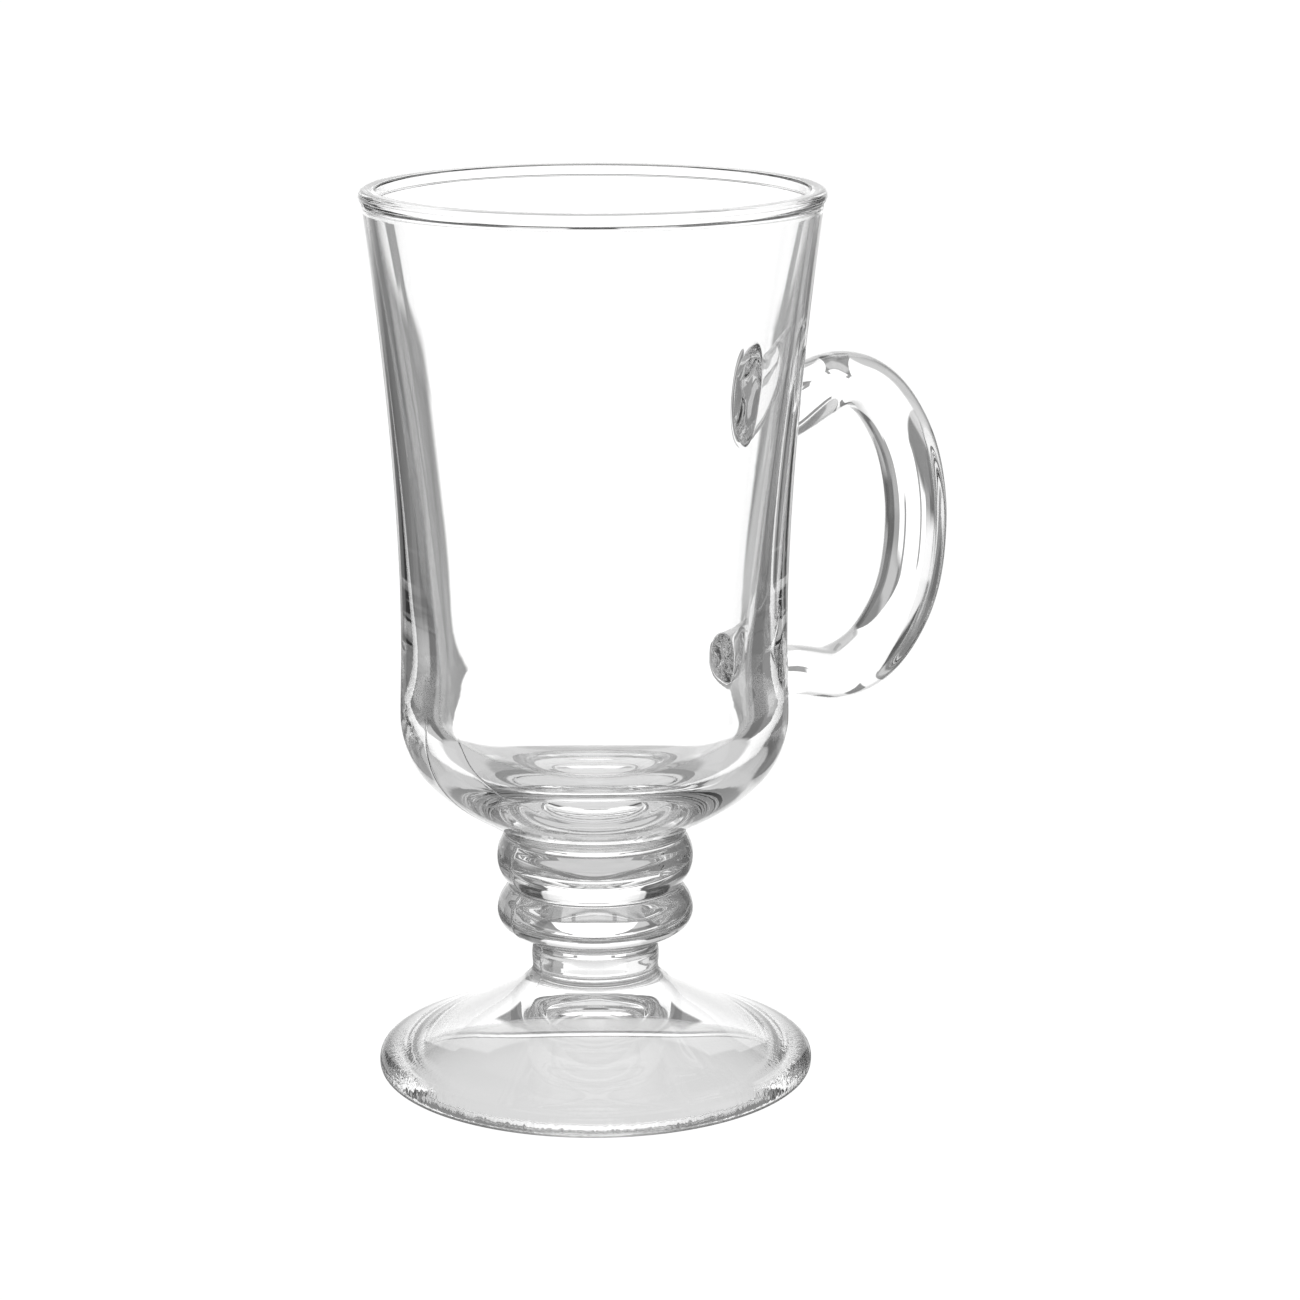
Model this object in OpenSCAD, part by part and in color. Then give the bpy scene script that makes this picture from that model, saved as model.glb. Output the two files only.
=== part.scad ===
// Footed glass coffee mug: a flared round bowl on a stem with two rounded knops, a bell foot
// with a hollow underside, and a D-shaped handle on one side.
// The origin is the centre of the foot ring on the table, and the handle points along +X.

/* [Overall] */
// Height from the table to the top of the rim
mug_h = 150; // [135:1:175]
// Outer diameter of the rim
rim_d = 76; // [72:1:84]

/* [Bowl] */
// Outer diameter at the fullest part of the bowl's round bottom
belly_d = 64.8; // [62:0.2:67]
// Height of the fullest part above the bowl's base
belly_rise = 21; // [18:0.5:26]
// Outer diameter at the narrowest part of the wall
waist_d = 64.2; // [61:0.2:66]
// Height of the narrowest part above the bowl's base
waist_rise = 37; // [32:0.5:44]
// Diameter of the neck where the bowl meets the upper knop
neck_d = 30.4; // [26:0.2:33]
// Thickness of the wall just above the cup's round bottom
belly_t = 6; // [4.8:0.1:7]
// Thickness of glass from the neck up to the floor of the cup
floor_t = 9; // [6:0.5:12]
// Height of the cup's round bottom above its floor
cup_round_h = 14; // [10:0.5:20]
// Thickness of the rim's rounded lip
lip_t = 2.6; // [2:0.1:3.2]
// Height of the bead that runs round the rim
lip_h = 5; // [3:0.5:8]
// How far the bead stands out from the wall
lip_proud = 0.4; // [0.2:0.1:1]

/* [Knops] */
// Largest diameter of both knops
knop_d = 33; // [31:0.2:38]
// Height of the upper knop
upper_knop_h = 8.8; // [7:0.2:11]
// Height of the lower knop
lower_knop_h = 9.8; // [8:0.2:12]
// Diameter at the groove between the knops
groove_d = 29; // [25:0.2:30.6]

/* [Stem] */
// Height of the plain stem between the lower knop and the foot
stem_h = 5.4; // [4:0.2:10]
// Narrowest diameter of the stem
stem_d = 21.5; // [17:0.1:24]

/* [Foot] */
// Height of the foot
foot_h = 18; // [15:0.5:21]
// Largest diameter of the foot
foot_d = 73.3; // [68:0.1:80]
// Height of the foot's rounded edge
edge_h = 5; // [4:0.2:6.5]
// Width of the foot's rounding under its edge
edge_in = 2.4; // [1.5:0.1:3.5]
// Width of the flat ring that the mug stands on
ring_w = 3.2; // [2:0.1:5]
// Height of the hollow under the foot
hollow_h = 11.5; // [7:0.5:12.5]

/* [Handle] */
// Distance from the mug's axis to the outside of the handle
handle_reach = 70.9; // [66:0.1:84]
// Drop from the rim to the top of the handle
handle_drop = 31; // [27:0.5:36]
// Height of the handle over its outside
handle_h = 60.6; // [55:0.2:64]
// Thickness of the handle in its own plane
handle_t = 9.3; // [7:0.1:11]
// Width of the handle across its plane
handle_w = 12.2; // [9:0.1:15]
// Width of the handle where it leaves the wall
root_w = 9.8; // [8:0.1:13]
// Extra depth of the web under the handle's upper end
upper_web = 5.2; // [3:0.2:7]
// Extra depth of the web over the handle's lower end
lower_web = 2.4; // [1:0.2:4]
// Length over which each web fades into the handle
web_run = 15; // [12:0.5:20]
// Height of the rounding on the outer side of each end
root_round = 4; // [2:0.2:5]

/* [Hidden] */
rim_r = rim_d / 2;
belly_r = belly_d / 2;
waist_r = waist_d / 2;
neck_r = neck_d / 2;
knop_r = knop_d / 2;
groove_r = groove_d / 2;
stem_r = stem_d / 2;
foot_r = foot_d / 2;

stem_z = foot_h;
lower_knop_z = stem_z + stem_h;
upper_knop_z = lower_knop_z + lower_knop_h;
bowl_z = upper_knop_z + upper_knop_h;
belly_z = bowl_z + belly_rise;
waist_z = bowl_z + waist_rise;
cup_floor_z = bowl_z + floor_t;
cup_round_z = cup_floor_z + cup_round_h;
lip_z = mug_h - lip_h;
lip_round_z = mug_h - lip_t / 2;

// The flat ring under the foot, and the rim of the hollow inside it
ring_r = foot_r - edge_in;
hollow_r = ring_r - ring_w;

// Radius of the cup at the top of its round bottom, and just inside the lip
cup_low_r = belly_r - belly_t;
cup_top_r = rim_r - lip_t;

// The handle's centre line starts inside the wall
root_r = waist_r - lip_t;
line_reach = handle_reach - handle_t / 2;
line_top_z = mug_h - handle_drop - handle_t / 2;
line_low_z = mug_h - handle_drop - handle_h + handle_t / 2;

// How steeply the wall's flare, the cup's flare and the cup's inner corner turn, as exponents
flare_power = 1.7;
cup_power = 1.4;
corner_power = 2.3;
// Straight facets along one stretch of an outline
curve_steps = 5;
wall_steps = 14;
// Facets round a solid of revolution
round_facets = 96;
// Points round the handle's oval section, and rings along one stretch of its centre line
handle_sides = 20;
handle_steps = 3;

// The bowl's underside, from its neck to its belly: shares of the step in radius and in height
under_shares = [[0, 0], [0.10, 0.09], [0.42, 0.25], [0.71, 0.43], [0.91, 0.65], [0.99, 0.86], [1, 1]];
// Half a knop, from its edge to its crest: shares of the step in radius and in height
knop_shares = [[0, 0], [0.18, 0.12], [0.42, 0.27], [0.70, 0.45], [0.90, 0.67], [1, 1]];
// The foot's top, from its edge in to the stem: shares of the step in radius and in height
foot_shares = [[1, 0], [0.75, 0.19], [0.47, 0.42], [0.23, 0.65], [0.12, 0.77], [0.05, 0.88], [0, 1]];
// The foot's rounded edge: shares of the rounding's width and of the edge's height
edge_shares = [[0, 0], [0.55, 0.10], [0.90, 0.26], [1, 0.46], [0.92, 0.70], [0.60, 0.89], [0, 1]];
// The hollow under the foot, from its rim in to its top: shares of its radius and of its height
hollow_shares = [[1, 0], [0.94, 0.16], [0.74, 0.42], [0.50, 0.68], [0.25, 0.90], [0, 1]];
// The handle's centre line: shares of the way from the wall to its outermost point, and of its height
handle_shares = [
    [0, 0.95], [0.30, 0.971], [0.44, 0.988], [0.54, 1], [0.65, 0.986], [0.745, 0.945], [0.82, 0.89],
    [0.93, 0.757], [0.99, 0.595], [1, 0.48], [0.98, 0.33], [0.91, 0.187], [0.79, 0.076],
    [0.71, 0.035], [0.61, 0.008], [0.49, 0], [0.37, 0.018], [0, 0.06]
];

// One point on a smooth curve that runs from b to c, with a and d as its neighbours
function curve_point(a, b, c, d, t) =
    b + (c - a) * t / 2
    + (2 * a - 5 * b + 4 * c - d) * t * t / 2
    + (3 * b - a - 3 * c + d) * t * t * t / 2;

// A smooth curve through all the points of p
function curve(p, steps) = concat(
    [for (i = [0:len(p) - 2]) for (k = [0:steps - 1])
        curve_point(p[max(i - 1, 0)], p[i], p[i + 1], p[min(i + 2, len(p) - 1)], k / steps)],
    [p[len(p) - 1]]
);

// Places a table of shares between two corners, each a radius and a height
function between(shares, low, high) = [
    for (s = shares) [low.x + (high.x - low.x) * s.x, low.y + (high.y - low.y) * s.y]
];

function reversed(p) = [for (i = [len(p) - 1:-1:0]) p[i]];

// Outer radius of the wall above its waist, without the rim's bead
function wall_r(z) =
    waist_r + (rim_r - lip_proud - waist_r) * pow(max(0, (z - waist_z) / (lip_round_z - waist_z)), flare_power);

// Radius of the bead's outside, which swells smoothly out of the wall
function bead_r(z) = wall_r(z) + lip_proud * (1 - cos(180 * (z - lip_z) / (lip_round_z - lip_z))) / 2;

// Inner radius of the cup, which widens upwards
function cup_r(z) =
    cup_low_r + (cup_top_r - cup_low_r) * pow((z - cup_round_z) / (lip_round_z - cup_round_z), cup_power);

// A solid turned from an outline that starts and ends on the axis
module turned(outline) {
    rotate_extrude($fn = round_facets)
        polygon(outline);
}

function bowl_under() = curve(between(under_shares, [neck_r, bowl_z], [belly_r, belly_z]), curve_steps);

function bowl_waist() = curve([[belly_r, belly_z], [(belly_r + waist_r) / 2, (belly_z + waist_z) / 2],
    [waist_r, waist_z]], curve_steps);

function bowl_wall() = [
    for (k = [1:wall_steps])
        let (z = waist_z + (lip_z - waist_z) * k / wall_steps)
        [wall_r(z), z]
];

function bowl_outside() = concat(bowl_under(), bowl_waist(), bowl_wall());

// The bead outside, the half-round top of the lip and its inside, down to the wall
function lip_outline() =
    let (half = lip_t / 2, centre_r = rim_r - half)
    concat(
        [for (k = [1:curve_steps]) let (z = lip_z + (lip_round_z - lip_z) * k / curve_steps) [bead_r(z), z]],
        [for (k = [1:2 * curve_steps]) let (a = 90 * k / curve_steps)
            [centre_r + half * cos(a), lip_round_z + half * sin(a)]]
    );

function cup_wall() = [
    for (k = [1:wall_steps])
        let (z = lip_round_z + (cup_round_z - lip_round_z) * k / wall_steps)
        [cup_r(z), z]
];

// The cup's round bottom, from the wall in to the middle of its floor
function cup_round() = [
    for (k = [1:2 * curve_steps])
        let (a = 90 * k / (2 * curve_steps), p = 2 / corner_power)
        [cup_low_r * pow(cos(a), p), cup_round_z - cup_round_h * pow(sin(a), p)]
];

module bowl() {
    color("gainsboro", 0.5)
        turned(concat([[0, bowl_z]], bowl_outside(), lip_outline(), cup_wall(), cup_round()));
}

// Half a knop between an edge radius at one height and its crest at another
function knop_half(edge_r, edge_z, crest_z) =
    curve(between(knop_shares, [edge_r, edge_z], [knop_r, crest_z]), curve_steps);

module knop(low_r, low_z, high_r, high_z) {
    crest_z = (low_z + high_z) / 2;
    turned(concat(
        [[0, low_z]],
        knop_half(low_r, low_z, crest_z),
        reversed(knop_half(high_r, high_z, crest_z)),
        [[0, high_z]]
    ));
}

module upper_knop() {
    color("lightgray", 0.6)
        knop(groove_r, upper_knop_z, neck_r, bowl_z);
}

module lower_knop() {
    color("lightgray", 0.6)
        knop(stem_r, lower_knop_z, groove_r, upper_knop_z);
}

module stem() {
    color("gainsboro", 0.6)
        translate([0, 0, stem_z])
            cylinder(h = stem_h, r = stem_r, $fn = round_facets);
}

module foot() {
    color("gainsboro", 0.5)
        turned(concat(
            reversed(between(hollow_shares, [0, 0], [hollow_r, hollow_h])),
            curve(between(edge_shares, [ring_r, 0], [foot_r, edge_h]), curve_steps),
            curve(between(foot_shares, [stem_r, edge_h], [ring_r, foot_h]), curve_steps)
        ));
}

// The handle's centre line in its own plane, from inside the upper wall round to inside the lower wall
function handle_line() = curve(between(handle_shares, [root_r, line_low_z], [line_reach, line_top_z]), handle_steps);

// Direction of the centre line at its point i
function handle_heading(line, i) =
    let (step = line[min(i + 1, len(line) - 1)] - line[max(i - 1, 0)])
    step / norm(step);

// Share that is left of a change near the wall, at a distance of r from the mug's axis
function fade(r, run) = pow(max(0, 1 - max(0, r - waist_r) / run), 2);

function is_upper(p) = p.y > (line_low_z + line_top_z) / 2;

// Half thickness towards the finger gap at a point of the centre line
function inner_half(p) = handle_t / 2 + fade(p.x, web_run) * (is_upper(p) ? upper_web : lower_web);

// Half thickness away from the finger gap
function outer_half(p) = handle_t / 2 + fade(p.x, 2 * root_round) * root_round;

function half_w(p) = handle_w / 2 + (root_w - handle_w) / 2 * fade(p.x, web_run);

// One oval ring of the handle round a point of its centre line
function handle_ring(p, heading) =
    let (inward = [heading.y, -heading.x])
    [for (k = [0:handle_sides - 1])
        let (a = 360 * k / handle_sides, c = cos(a), depth = c > 0 ? inner_half(p) : outer_half(p))
        [p.x + inward.x * depth * c, half_w(p) * sin(a), p.y + inward.y * depth * c]];

module handle_bar() {
    line = handle_line();
    rings = [for (i = [0:len(line) - 1]) handle_ring(line[i], handle_heading(line, i))];
    last = len(rings) - 1;
    sides = [for (i = [0:last - 1]) for (k = [0:handle_sides - 1])
        let (a = i * handle_sides + k, b = i * handle_sides + (k + 1) % handle_sides)
        [a, a + handle_sides, b + handle_sides, b]];
    first_end = [for (k = [0:handle_sides - 1]) k];
    last_end = [for (k = [handle_sides - 1:-1:0]) last * handle_sides + k];
    polyhedron([for (r = rings) each r], concat(sides, [first_end, last_end]));
}

module handle() {
    color("gainsboro", 0.5)
        difference() {
            handle_bar();
            turned(concat([[0, bowl_z]], bowl_outside(), [[0, lip_z]]));
        }
}

bowl();
upper_knop();
lower_knop();
stem();
foot();
handle();
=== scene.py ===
from math import cos, pi, radians, sin, sqrt

import bmesh
import bpy
import numpy as np
from bpy.props import FloatProperty, FloatVectorProperty, PointerProperty
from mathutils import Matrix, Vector


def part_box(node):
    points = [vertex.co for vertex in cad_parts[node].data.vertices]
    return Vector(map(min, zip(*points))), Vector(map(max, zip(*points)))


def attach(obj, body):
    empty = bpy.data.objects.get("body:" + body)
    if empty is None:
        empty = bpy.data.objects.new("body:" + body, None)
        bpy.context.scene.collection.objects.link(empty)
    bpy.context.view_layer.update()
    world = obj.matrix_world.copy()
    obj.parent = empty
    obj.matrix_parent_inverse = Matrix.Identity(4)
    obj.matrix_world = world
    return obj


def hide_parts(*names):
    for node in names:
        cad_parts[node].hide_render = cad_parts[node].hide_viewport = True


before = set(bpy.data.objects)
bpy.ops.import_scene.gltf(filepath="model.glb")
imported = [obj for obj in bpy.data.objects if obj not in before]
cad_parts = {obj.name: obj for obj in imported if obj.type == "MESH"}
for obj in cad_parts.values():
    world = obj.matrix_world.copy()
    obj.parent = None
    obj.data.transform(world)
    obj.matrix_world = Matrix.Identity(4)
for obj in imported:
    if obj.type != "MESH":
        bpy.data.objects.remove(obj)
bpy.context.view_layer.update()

bl_info = {
    "name": "Footed glass mug",
    "version": (1, 0, 0),
    "blender": (4, 5, 0),
    "location": "View3D > Sidebar > Glass Mug",
    "description": "Builds a pressed glass mug on its foot, and the studio that it stands in",
    "category": "Add Mesh",
}

MM = 0.001

# Heights and radii that the CAD pieces give, in metres
FOOT_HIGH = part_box("foot")[1]
STEM_LOW, STEM_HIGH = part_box("stem")
UPPER_KNOP_LOW, UPPER_KNOP_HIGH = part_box("upper_knop")
BOWL_LOW, BOWL_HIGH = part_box("bowl")

# The bowl's underside, from its neck to its belly: shares of the step in radius and in height
UNDER_SHARES = [(0, 0), (0.10, 0.09), (0.42, 0.25), (0.71, 0.43), (0.91, 0.65), (0.99, 0.86), (1, 1)]
# Half a knop, from its edge to its crest: shares of the step in radius and in height
KNOP_SHARES = [(0, 0), (0.18, 0.12), (0.42, 0.27), (0.70, 0.45), (0.90, 0.67), (1, 1)]
# The foot's top, from its edge in to the stem: shares of the step in radius and in height
FOOT_SHARES = [(1, 0), (0.75, 0.19), (0.47, 0.42), (0.23, 0.65), (0.12, 0.77), (0.05, 0.88), (0, 1)]
# The foot's rounded edge: shares of the rounding's width and of the edge's height
EDGE_SHARES = [(0, 0), (0.55, 0.10), (0.90, 0.26), (1, 0.46), (0.92, 0.70), (0.60, 0.89), (0, 1)]
# The hollow under the foot, from its rim in to its top: shares of its radius and of its height
HOLLOW_SHARES = [(1, 0), (0.94, 0.16), (0.74, 0.42), (0.50, 0.68), (0.25, 0.90), (0, 1)]
# The handle's centre line: shares of the way from the wall to its outermost point, and of its height
HANDLE_SHARES = [
    (0, 0.95), (0.30, 0.971), (0.44, 0.988), (0.54, 1), (0.65, 0.986), (0.745, 0.945), (0.82, 0.89),
    (0.93, 0.757), (0.99, 0.595), (1, 0.48), (0.98, 0.33), (0.91, 0.187), (0.79, 0.076),
    (0.71, 0.035), (0.61, 0.008), (0.49, 0), (0.37, 0.018), (0, 0.06),
]
# How far the wall has swelled from waist to belly, half way between them in height
SWELL_SHARE = 0.27

# How the curves bend: the wall's flare, the cup's flare, the corner of the cup and that of the bar
WALL_POWER = 1.7
CUP_POWER = 1.4
CUP_CORNER = 2.3
BAR_CORNER = 2.2

# The handle's roots: half widths, tapers, and the roundings where they meet the wall
UPPER_ROOT_W = 4.5 * MM
LOWER_ROOT_W = 5 * MM
ROOT_RUN = 15 * MM
UPPER_TAPER = 4.2 * MM
LOWER_TAPER = 0.45 * MM
LOWER_TAPER_RUN = 12 * MM
SIDE_FILLET = 0.5 * MM
UPPER_OUTER_FILLET = 5.2 * MM
UPPER_INNER_FILLET = 1 * MM
LOWER_FILLET = 0.4 * MM
ON_WALL_RUN = 9 * MM

# The mould's seam: how far it fades out below the belly and below the foot's top, and the columns that
# cut it, in half widths from its middle
SEAM_FADE = 12 * MM
SEAM_FOOT_DROP = 3 * MM
SEAM_FOOT_FADE = 4 * MM
SEAM_COLUMN_SHARES = (-2.2, -1.2, -0.5, 0.5, 1.2, 2.2)

# The skin's unevenness: scale of the noise, and how it is stretched along the axes
WAVE_SCALE, WAVE_STRETCH = 38, (1, 1, 0.6)
RIPPLE_SCALE, RIPPLE_STRETCH = 520, (0.7, 0.7, 1.6)
STIPPLE_SCALE, STIPPLE_STRETCH = 1300, (1, 1, 1)
# Where that and the painted shade that darkens the edges begin and end, from the belly, the table or the
# edge that each follows
RIPPLES_ABOVE_BELLY = (4 * MM, 18 * MM)
RIPPLES_BELOW_BELLY = (-14 * MM, -8 * MM)
STIPPLE_ABOVE_TABLE = (1.6 * MM, 3.2 * MM)
STIPPLE_INSIDE_FOOT = (-2.2 * MM, -1.6 * MM)
PAINTED_EDGE_OUTSIDE_RIM = (0.5 * MM, 3 * MM)
PAINTED_EDGE_ABOVE_FOOT = (0, 4 * MM)
PAINTED_EDGE_BELOW_RIM = (-4 * MM, -2.5 * MM)
PAINTED_EDGE_ABOVE_KNOPS = (-1 * MM, 2 * MM)
CONTACT_INSIDE_FOOT = (-3.5 * MM, -1.5 * MM)

# How finely the glass is cut: points along its curves, steps between rows, and columns round the body
HOLLOW_POINTS = 60
OUTSIDE_POINTS = 1100
WALL_POINTS = 160
CENTRE_LINE_POINTS = 800
ARC_POINTS = 12
FINE_STEP = 0.45 * MM
COARSE_STEP = 0.9 * MM
COLUMNS = 240
BAR_RINGS = 96
# The windows in the wall where the handle grows out: half their columns and rows, and loops up to the bar
WINDOW_COLS = 9
WINDOW_ROWS = 13
WINDOW_LOOPS = 5


class GLASSMUG_PG_glass(bpy.types.PropertyGroup):
    """Sizes and finish of the glass"""

    belly_rise: FloatProperty(
        name="Belly rise", description="Height of the fullest part above the bowl's base",
        default=21 * MM, unit="LENGTH")
    waist_rise: FloatProperty(
        name="Waist rise", description="Height of the narrowest part of the wall above the bowl's base",
        default=37 * MM, unit="LENGTH")
    belly_r: FloatProperty(
        name="Belly radius", description="Radius at the fullest part of the bowl's round bottom",
        default=32.4 * MM, unit="LENGTH")
    waist_r: FloatProperty(
        name="Waist radius", description="Radius at the narrowest part of the wall",
        default=32.1 * MM, unit="LENGTH")
    neck_r: FloatProperty(
        name="Neck radius", description="Radius where the bowl meets the upper knop",
        default=15.2 * MM, unit="LENGTH")
    groove_r: FloatProperty(
        name="Groove radius", description="Radius at the groove between the knops",
        default=14.5 * MM, unit="LENGTH")
    stem_r: FloatProperty(
        name="Stem radius", description="Narrowest radius of the stem",
        default=10.75 * MM, unit="LENGTH")
    lip_t: FloatProperty(
        name="Lip thickness", description="Thickness of the rim's rounded lip",
        default=2.6 * MM, unit="LENGTH")
    lip_h: FloatProperty(
        name="Lip height", description="Height of the bead that runs round the rim",
        default=2.7 * MM, unit="LENGTH")
    lip_proud: FloatProperty(
        name="Lip bead", description="How far the bead stands out from the wall",
        default=0.3 * MM, unit="LENGTH")
    lip_outer_round: FloatProperty(
        name="Lip outer rounding", description="Radius of the rim's rounding on its outside",
        default=1.1 * MM, unit="LENGTH")
    lip_inner_round: FloatProperty(
        name="Lip inner rounding", description="Radius of the rim's rounding on its inside",
        default=0.15 * MM, unit="LENGTH")
    ledge_drop: FloatProperty(
        name="Ledge drop", description="Drop from the rim to the fine ledge inside it",
        default=1.6 * MM, unit="LENGTH")
    ledge_h: FloatProperty(
        name="Ledge height", description="Height of the fine ledge inside the rim",
        default=0.58 * MM, unit="LENGTH")
    ledge_w: FloatProperty(
        name="Ledge width", description="Width of the fine ledge inside the rim",
        default=0.58 * MM, unit="LENGTH")
    cup_r: FloatProperty(
        name="Cup radius", description="Inner radius of the cup just above its round bottom",
        default=26.4 * MM, unit="LENGTH")
    cup_floor_rise: FloatProperty(
        name="Cup floor rise", description="Thickness of glass from the neck up to the floor of the cup",
        default=9 * MM, unit="LENGTH")
    cup_round_h: FloatProperty(
        name="Cup round height", description="Height of the cup's round bottom above its floor",
        default=14 * MM, unit="LENGTH")
    edge_h: FloatProperty(
        name="Foot edge height", description="Height of the foot's rounded edge",
        default=5 * MM, unit="LENGTH")
    edge_in: FloatProperty(
        name="Foot edge rounding", description="Width of the foot's rounding under its edge",
        default=2.4 * MM, unit="LENGTH")
    ring_w: FloatProperty(
        name="Ring width", description="Width of the flat ring that the mug stands on",
        default=3.2 * MM, unit="LENGTH")
    hollow_h: FloatProperty(
        name="Hollow height", description="Height of the hollow under the foot",
        default=11.5 * MM, unit="LENGTH")
    handle_reach: FloatProperty(
        name="Handle reach", description="Distance from the mug's axis to the outside of the handle",
        default=70.9 * MM, unit="LENGTH")
    handle_drop: FloatProperty(
        name="Handle drop", description="Drop from the rim to the top of the handle",
        default=31 * MM, unit="LENGTH")
    handle_h: FloatProperty(
        name="Handle height", description="Height of the handle over its outside",
        default=60.6 * MM, unit="LENGTH")
    handle_t: FloatProperty(
        name="Handle thickness", description="Thickness of the handle in its own plane",
        default=9.3 * MM, unit="LENGTH")
    handle_w: FloatProperty(
        name="Handle width", description="Width of the handle across its plane",
        default=12.2 * MM, unit="LENGTH")
    seam_h: FloatProperty(
        name="Seam height", description="How far the mould's seam stands out of the glass",
        default=0.10 * MM, unit="LENGTH")
    seam_w: FloatProperty(
        name="Seam width", description="Half width of the mould's seam",
        default=0.16 * MM, unit="LENGTH")
    wave_h: FloatProperty(
        name="Waves", description="Height of the slow waves in the skin of the glass",
        default=0.02 * MM, unit="LENGTH")
    ripple_h: FloatProperty(
        name="Ripples", description="Height of the fine ripples that the mould leaves low on the mug",
        default=0.004 * MM, unit="LENGTH")
    stipple_h: FloatProperty(
        name="Stipple", description="Height of the stipple on the ring that the mug stands on",
        default=0.05 * MM, unit="LENGTH")
    ior: FloatProperty(
        name="Index of refraction", description="How strongly the glass bends light",
        default=1.52, min=1, max=2)
    # painted shade: the next four settings set where and how far the glass's colour is darkened towards its
    # edges
    painted_edge_start: FloatProperty(
        name="Edge start", description="How far from facing the eye the skin must be to turn darker",
        default=0.7, min=0, max=1)
    painted_edge_thin: FloatProperty(
        name="Edge on thin parts", description="How much earlier the handle and the foot turn darker",
        default=0.25, min=0, max=1)
    painted_knop_shade: FloatProperty(
        name="Knop darkening", description="How much more of that darkening the knops and the stem get",
        default=1.6)
    painted_edge_level: FloatProperty(
        name="Edge level", description="Brightness of the glass where it is seen edge on",
        default=0.35, min=0, max=1)
    tint: FloatVectorProperty(
        name="Tint", description="Colour of the glass", subtype="COLOR", size=3,
        default=(1, 1, 1), min=0, max=1)


class GLASSMUG_PG_studio(bpy.types.PropertyGroup):
    """The floor, the lights and the camera"""

    handle_turn: FloatProperty(
        name="Handle turn", description="How far the handle is turned back from the right of the picture",
        default=radians(33), subtype="ANGLE")
    camera_drop: FloatProperty(
        name="Camera tilt", description="How far the camera looks down",
        default=0.230942, subtype="ANGLE")
    camera_distance: FloatProperty(
        name="Camera distance", description="Distance from the mug's axis to the camera along the floor",
        default=627.664 * MM, unit="LENGTH")
    camera_height: FloatProperty(
        name="Camera height", description="Height of the camera above the floor",
        default=220.679 * MM, unit="LENGTH")
    camera_side: FloatProperty(
        name="Camera offset", description="How far the camera stands to the right of the mug's axis",
        default=9.227 * MM, unit="LENGTH")
    lens: FloatProperty(
        name="Lens", description="Focal length of the camera",
        default=107.409, unit="CAMERA")
    dome_r: FloatProperty(
        name="Dome radius", description="Radius of the dome that holds the studio's light",
        default=30, unit="LENGTH")
    shade_share: FloatProperty(
        name="Shade", description="Radius of the shaded table under the foot, as a share of the foot's",
        default=1.18, min=0)
    shade_level: FloatProperty(
        name="Shade brightness", description="Brightness of the shaded table under the foot",
        default=0.75, min=0)
    contact_level: FloatProperty(
        name="Contact shade", description="Brightness of the table right beside the foot's edge",
        default=0.3, min=0)
    floor_size: FloatProperty(
        name="Floor size", description="Width of the pale floor",
        default=40, unit="LENGTH")
    floor_colour: FloatVectorProperty(
        name="Floor colour", description="Colour of the pale floor", subtype="COLOR", size=3,
        default=(0.93, 0.93, 0.93), min=0, max=1)
    light_level: FloatProperty(
        name="Light", description="Strength of the even light from all round",
        default=1.12, min=0)


def natural_spline(points, count):
    """A smooth curve of count points through all the given points"""
    p = np.array([tuple(q) for q in points], dtype=float)
    n = len(p)
    t = np.concatenate([[0], np.cumsum(np.sqrt(np.linalg.norm(np.diff(p, axis=0), axis=1)))])
    h = np.diff(t)
    a = np.zeros((n, n))
    b = np.zeros((n, p.shape[1]))
    a[0, 0] = a[-1, -1] = 1
    for i in range(1, n - 1):
        a[i, i - 1], a[i, i], a[i, i + 1] = h[i - 1], 2 * (h[i - 1] + h[i]), h[i]
        b[i] = 6 * ((p[i + 1] - p[i]) / h[i] - (p[i] - p[i - 1]) / h[i - 1])
    m = np.linalg.solve(a, b)
    out = []
    for s in np.linspace(0, t[-1], count):
        i = min(np.searchsorted(t, s, side="right") - 1, n - 2)
        u, v, k = s - t[i], t[i + 1] - s, h[i]
        out.append(m[i] * v ** 3 / (6 * k) + m[i + 1] * u ** 3 / (6 * k)
                   + (p[i] / k - m[i] * k / 6) * v + (p[i + 1] / k - m[i + 1] * k / 6) * u)
    return np.array(out)


def eased(share, power, start=0.2):
    """A share raised to a power, with its abrupt beginning eased so that the curve leaves zero smoothly"""
    share = max(0, share)
    if share >= start:
        return share ** power
    return start ** (power - 2) * ((3 - power) * share ** 2 + (power - 2) * share ** 3 / start)


def between(shares, low, high):
    """Places a table of shares between two corners, each a radius and a height"""
    return [(low[0] + (high[0] - low[0]) * s, low[1] + (high[1] - low[1]) * t) for s, t in shares]


def spaced(points, step):
    """The same line with its points a step apart"""
    gap = np.linalg.norm(np.diff(points, axis=0), axis=1)
    run = np.concatenate([[0], np.cumsum(gap)])
    count = max(2, int(round(run[-1] / step)) + 1)
    want = np.linspace(0, run[-1], count)
    return np.stack([np.interp(want, run, points[:, k]) for k in range(points.shape[1])], axis=1)


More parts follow.
